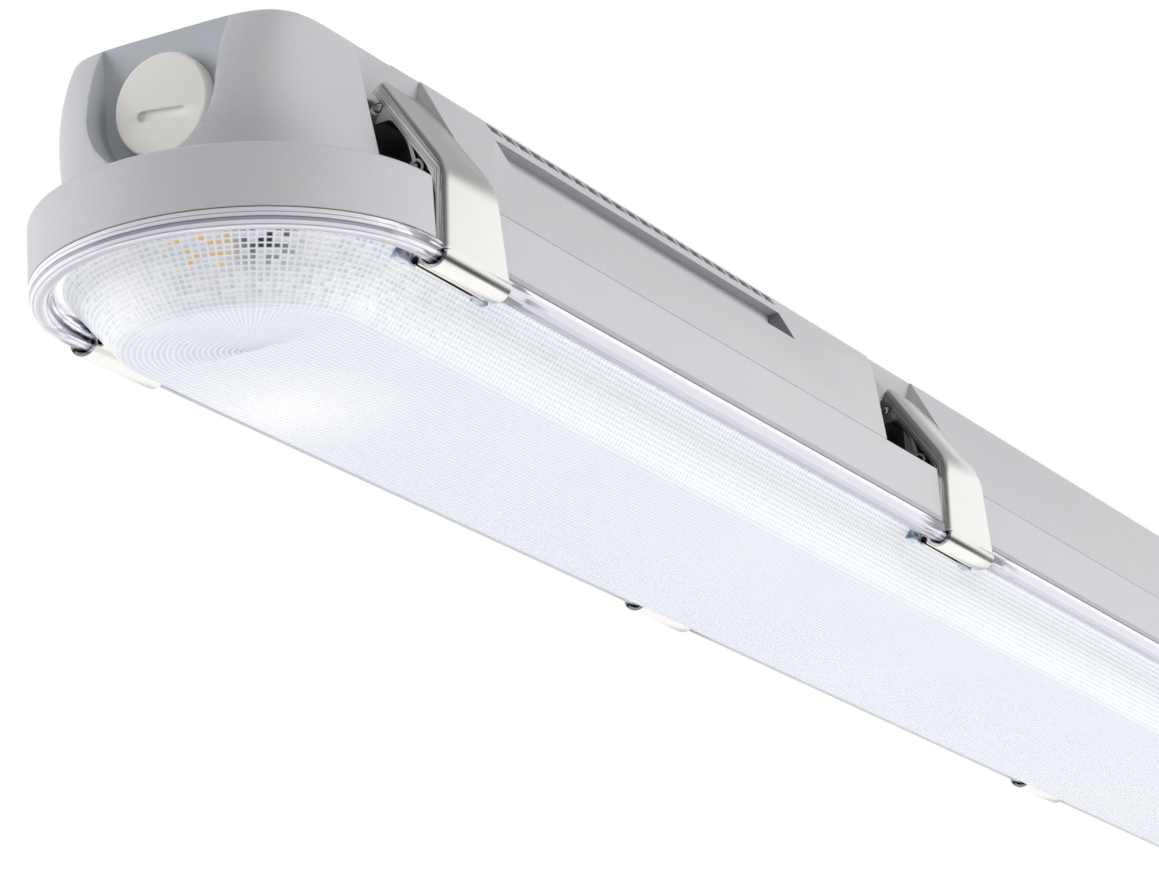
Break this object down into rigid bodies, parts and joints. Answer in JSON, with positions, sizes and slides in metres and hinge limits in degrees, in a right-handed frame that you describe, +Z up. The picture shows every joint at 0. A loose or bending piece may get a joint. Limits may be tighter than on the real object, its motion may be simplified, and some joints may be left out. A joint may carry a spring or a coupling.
{
  "type": "vapor tight light fixture",
  "caption": "Sealed linear ceiling light: moulded housing with round ends, clear prismatic cover held by over-centre latches, blanked and glanded cable entries, bracket slots in the sides.",
  "frame": {"origin": "centre of the flat ceiling face on the back of the housing", "axes": "+X along the fixture towards the cable gland, +Z up into the ceiling, the light shines to -Z"},
  "size_m": [1.246, 0.1028, 0.069],
  "materials": {
    "housing_plastic": "fine moulded grain",
    "clear_plastic": "clear polycarbonate with moulded prisms",
    "seal_foam": "foamed seal",
    "stainless": "satin stainless",
    "plug_plastic": "satin moulded",
    "gland_plastic": "satin moulded",
    "rubber": "soft rubber",
    "white_steel": "white powder coat",
    "board": "white solder mask",
    "driver_plastic": "satin case",
    "block_plastic": "moulded",
    "zinc_steel": "zinc plated"
  },
  "bodies": {
    "root": {"housing": "housing_plastic", "diffuser": "clear_plastic", "gasket": "seal_foam", "gear_tray": "white_steel", "tray_screw_1": "zinc_steel", "tray_screw_2": "zinc_steel", "tray_screw_3": "zinc_steel", "led_board_1": "board", "led_board_2": "board", "led_board_3": "board", "led_board_4": "board", "driver": "driver_plastic", "terminal_block": "block_plastic", "gland_body": "gland_plastic", "gland_seal": "rubber", "front_latch_1_housing_pin": "stainless", "front_latch_2_housing_pin": "stainless", "front_latch_3_housing_pin": "stainless", "front_latch_4_housing_pin": "stainless", "front_latch_5_housing_pin": "stainless", "back_latch_1_housing_pin": "stainless", "back_latch_2_housing_pin": "stainless", "back_latch_3_housing_pin": "stainless", "back_latch_4_housing_pin": "stainless", "back_latch_5_housing_pin": "stainless"},
    "blanking_plug": {"blanking_plug": "plug_plastic", "plug_ring": "rubber"},
    "gland_nut": {"gland_nut": "gland_plastic"},
    "front_latch_1_link": {"front_latch_1_link": "stainless", "front_latch_1_lever_pin": "stainless"},
    "front_latch_1_lever": {"front_latch_1_lever": "stainless"},
    "front_latch_2_link": {"front_latch_2_link": "stainless", "front_latch_2_lever_pin": "stainless"},
    "front_latch_2_lever": {"front_latch_2_lever": "stainless"},
    "front_latch_3_link": {"front_latch_3_link": "stainless", "front_latch_3_lever_pin": "stainless"},
    "front_latch_3_lever": {"front_latch_3_lever": "stainless"},
    "front_latch_4_link": {"front_latch_4_link": "stainless", "front_latch_4_lever_pin": "stainless"},
    "front_latch_4_lever": {"front_latch_4_lever": "stainless"},
    "front_latch_5_link": {"front_latch_5_link": "stainless", "front_latch_5_lever_pin": "stainless"},
    "front_latch_5_lever": {"front_latch_5_lever": "stainless"},
    "back_latch_1_link": {"back_latch_1_link": "stainless", "back_latch_1_lever_pin": "stainless"},
    "back_latch_1_lever": {"back_latch_1_lever": "stainless"},
    "back_latch_2_link": {"back_latch_2_link": "stainless", "back_latch_2_lever_pin": "stainless"},
    "back_latch_2_lever": {"back_latch_2_lever": "stainless"},
    "back_latch_3_link": {"back_latch_3_link": "stainless", "back_latch_3_lever_pin": "stainless"},
    "back_latch_3_lever": {"back_latch_3_lever": "stainless"},
    "back_latch_4_link": {"back_latch_4_link": "stainless", "back_latch_4_lever_pin": "stainless"},
    "back_latch_4_lever": {"back_latch_4_lever": "stainless"},
    "back_latch_5_link": {"back_latch_5_link": "stainless", "back_latch_5_lever_pin": "stainless"},
    "back_latch_5_lever": {"back_latch_5_lever": "stainless"}
  },
  "joints": [
    {"name": "plug_turn", "type": "hinge", "parent": "root", "child": "blanking_plug", "pos_m": [-0.603, 0, -0.019], "axis": [-1, 0, 0], "continuous": true},
    {"name": "gland_nut_turn", "type": "hinge", "parent": "root", "child": "gland_nut", "pos_m": [0.609, 0, -0.019], "axis": [1, 0, 0], "continuous": true},
    {"name": "front_latch_1_open", "type": "hinge", "parent": "root", "child": "front_latch_1_link", "pos_m": [-0.555, -0.0405, -0.0305], "axis": [1, 0, 0], "range_deg": [0, 95]},
    {"name": "front_latch_1_lever_turn", "type": "hinge", "parent": "front_latch_1_link", "child": "front_latch_1_lever", "pos_m": [-0.555, -0.033, -0.015], "axis": [1, 0, 0], "range_deg": [-59.5, 0]},
    {"name": "front_latch_2_open", "type": "hinge", "parent": "root", "child": "front_latch_2_link", "pos_m": [-0.2775, -0.0405, -0.0305], "axis": [1, 0, 0], "range_deg": [0, 95]},
    {"name": "front_latch_2_lever_turn", "type": "hinge", "parent": "front_latch_2_link", "child": "front_latch_2_lever", "pos_m": [-0.2775, -0.033, -0.015], "axis": [1, 0, 0], "range_deg": [-59.5, 0]},
    {"name": "front_latch_3_open", "type": "hinge", "parent": "root", "child": "front_latch_3_link", "pos_m": [0, -0.0405, -0.0305], "axis": [1, 0, 0], "range_deg": [0, 95]},
    {"name": "front_latch_3_lever_turn", "type": "hinge", "parent": "front_latch_3_link", "child": "front_latch_3_lever", "pos_m": [0, -0.033, -0.015], "axis": [1, 0, 0], "range_deg": [-59.5, 0]},
    {"name": "front_latch_4_open", "type": "hinge", "parent": "root", "child": "front_latch_4_link", "pos_m": [0.2775, -0.0405, -0.0305], "axis": [1, 0, 0], "range_deg": [0, 95]},
    {"name": "front_latch_4_lever_turn", "type": "hinge", "parent": "front_latch_4_link", "child": "front_latch_4_lever", "pos_m": [0.2775, -0.033, -0.015], "axis": [1, 0, 0], "range_deg": [-59.5, 0]},
    {"name": "front_latch_5_open", "type": "hinge", "parent": "root", "child": "front_latch_5_link", "pos_m": [0.555, -0.0405, -0.0305], "axis": [1, 0, 0], "range_deg": [0, 95]},
    {"name": "front_latch_5_lever_turn", "type": "hinge", "parent": "front_latch_5_link", "child": "front_latch_5_lever", "pos_m": [0.555, -0.033, -0.015], "axis": [1, 0, 0], "range_deg": [-59.5, 0]},
    {"name": "back_latch_1_open", "type": "hinge", "parent": "root", "child": "back_latch_1_link", "pos_m": [-0.555, 0.0405, -0.0305], "axis": [-1, 0, 0], "range_deg": [0, 95]},
    {"name": "back_latch_1_lever_turn", "type": "hinge", "parent": "back_latch_1_link", "child": "back_latch_1_lever", "pos_m": [-0.555, 0.033, -0.015], "axis": [-1, 0, 0], "range_deg": [-59.5, 0]},
    {"name": "back_latch_2_open", "type": "hinge", "parent": "root", "child": "back_latch_2_link", "pos_m": [-0.2775, 0.0405, -0.0305], "axis": [-1, 0, 0], "range_deg": [0, 95]},
    {"name": "back_latch_2_lever_turn", "type": "hinge", "parent": "back_latch_2_link", "child": "back_latch_2_lever", "pos_m": [-0.2775, 0.033, -0.015], "axis": [-1, 0, 0], "range_deg": [-59.5, 0]},
    {"name": "back_latch_3_open", "type": "hinge", "parent": "root", "child": "back_latch_3_link", "pos_m": [0, 0.0405, -0.0305], "axis": [-1, 0, 0], "range_deg": [0, 95]},
    {"name": "back_latch_3_lever_turn", "type": "hinge", "parent": "back_latch_3_link", "child": "back_latch_3_lever", "pos_m": [0, 0.033, -0.015], "axis": [-1, 0, 0], "range_deg": [-59.5, 0]},
    {"name": "back_latch_4_open", "type": "hinge", "parent": "root", "child": "back_latch_4_link", "pos_m": [0.2775, 0.0405, -0.0305], "axis": [-1, 0, 0], "range_deg": [0, 95]},
    {"name": "back_latch_4_lever_turn", "type": "hinge", "parent": "back_latch_4_link", "child": "back_latch_4_lever", "pos_m": [0.2775, 0.033, -0.015], "axis": [-1, 0, 0], "range_deg": [-59.5, 0]},
    {"name": "back_latch_5_open", "type": "hinge", "parent": "root", "child": "back_latch_5_link", "pos_m": [0.555, 0.0405, -0.0305], "axis": [-1, 0, 0], "range_deg": [0, 95]},
    {"name": "back_latch_5_lever_turn", "type": "hinge", "parent": "back_latch_5_link", "child": "back_latch_5_lever", "pos_m": [0.555, 0.033, -0.015], "axis": [-1, 0, 0], "range_deg": [-59.5, 0]}
  ],
  "couplings": [
    {"joint": "front_latch_1_lever_turn", "follows": "front_latch_1_open", "ratio": -0.605},
    {"joint": "front_latch_2_lever_turn", "follows": "front_latch_2_open", "ratio": -0.605},
    {"joint": "front_latch_3_lever_turn", "follows": "front_latch_3_open", "ratio": -0.605},
    {"joint": "front_latch_4_lever_turn", "follows": "front_latch_4_open", "ratio": -0.605},
    {"joint": "front_latch_5_lever_turn", "follows": "front_latch_5_open", "ratio": -0.605},
    {"joint": "back_latch_1_lever_turn", "follows": "back_latch_1_open", "ratio": -0.605},
    {"joint": "back_latch_2_lever_turn", "follows": "back_latch_2_open", "ratio": -0.605},
    {"joint": "back_latch_3_lever_turn", "follows": "back_latch_3_open", "ratio": -0.605},
    {"joint": "back_latch_4_lever_turn", "follows": "back_latch_4_open", "ratio": -0.605},
    {"joint": "back_latch_5_lever_turn", "follows": "back_latch_5_open", "ratio": -0.605}
  ]
}
